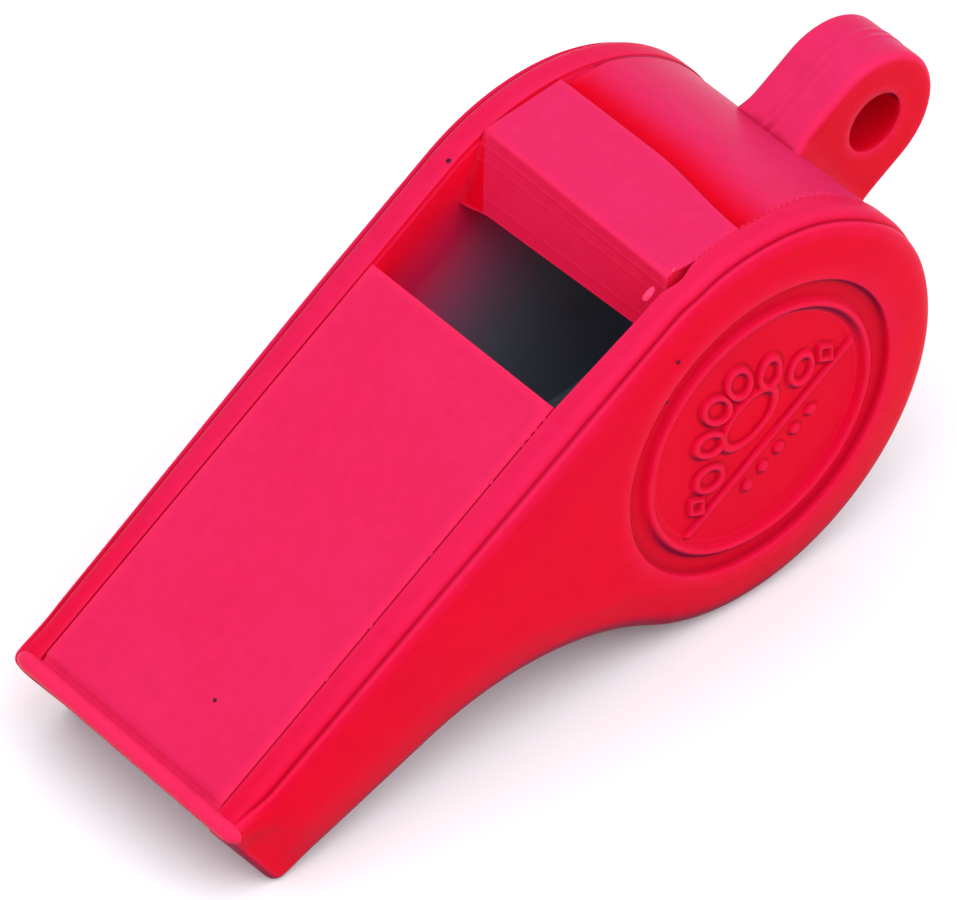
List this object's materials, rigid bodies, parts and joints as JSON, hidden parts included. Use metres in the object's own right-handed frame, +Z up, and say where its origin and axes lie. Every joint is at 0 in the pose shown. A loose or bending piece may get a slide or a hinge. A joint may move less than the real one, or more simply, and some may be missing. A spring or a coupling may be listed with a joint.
{
  "type": "pea whistle",
  "caption": "Moulded plastic training whistle with a flat mouthpiece, a sounding window, a round chamber with a loose pea and a lanyard lug.",
  "frame": {"origin": "centre of the footprint at the level the whistle stands on: its belly and the lower edge of its mouth", "axes": "+X from the mouth towards the lanyard lug, +Y towards the whistle's left cheek, +Z up; the flat top plate slopes down towards the mouth by 31.8 degrees"},
  "size_m": [0.0546, 0.0194, 0.0256],
  "materials": {
    "body_plastic": "glossy red moulded plastic",
    "roof_plastic": "glossy pinkish-red moulded plastic",
    "cheek_plastic": "glossy red moulded plastic",
    "pea_cork": "bare natural cork"
  },
  "bodies": {
    "whistle": {"chamber_body": "body_plastic", "windway_roof": "roof_plastic", "left_cheek": "cheek_plastic", "right_cheek": "cheek_plastic"},
    "pea": {"pea": "pea_cork"}
  },
  "joints": [
    {"name": "pea_orbit", "type": "hinge", "parent": "whistle", "child": "pea", "pos_m": [0.00851, 0, 0.0128], "axis": [0, 1, 0], "continuous": true}
  ]
}
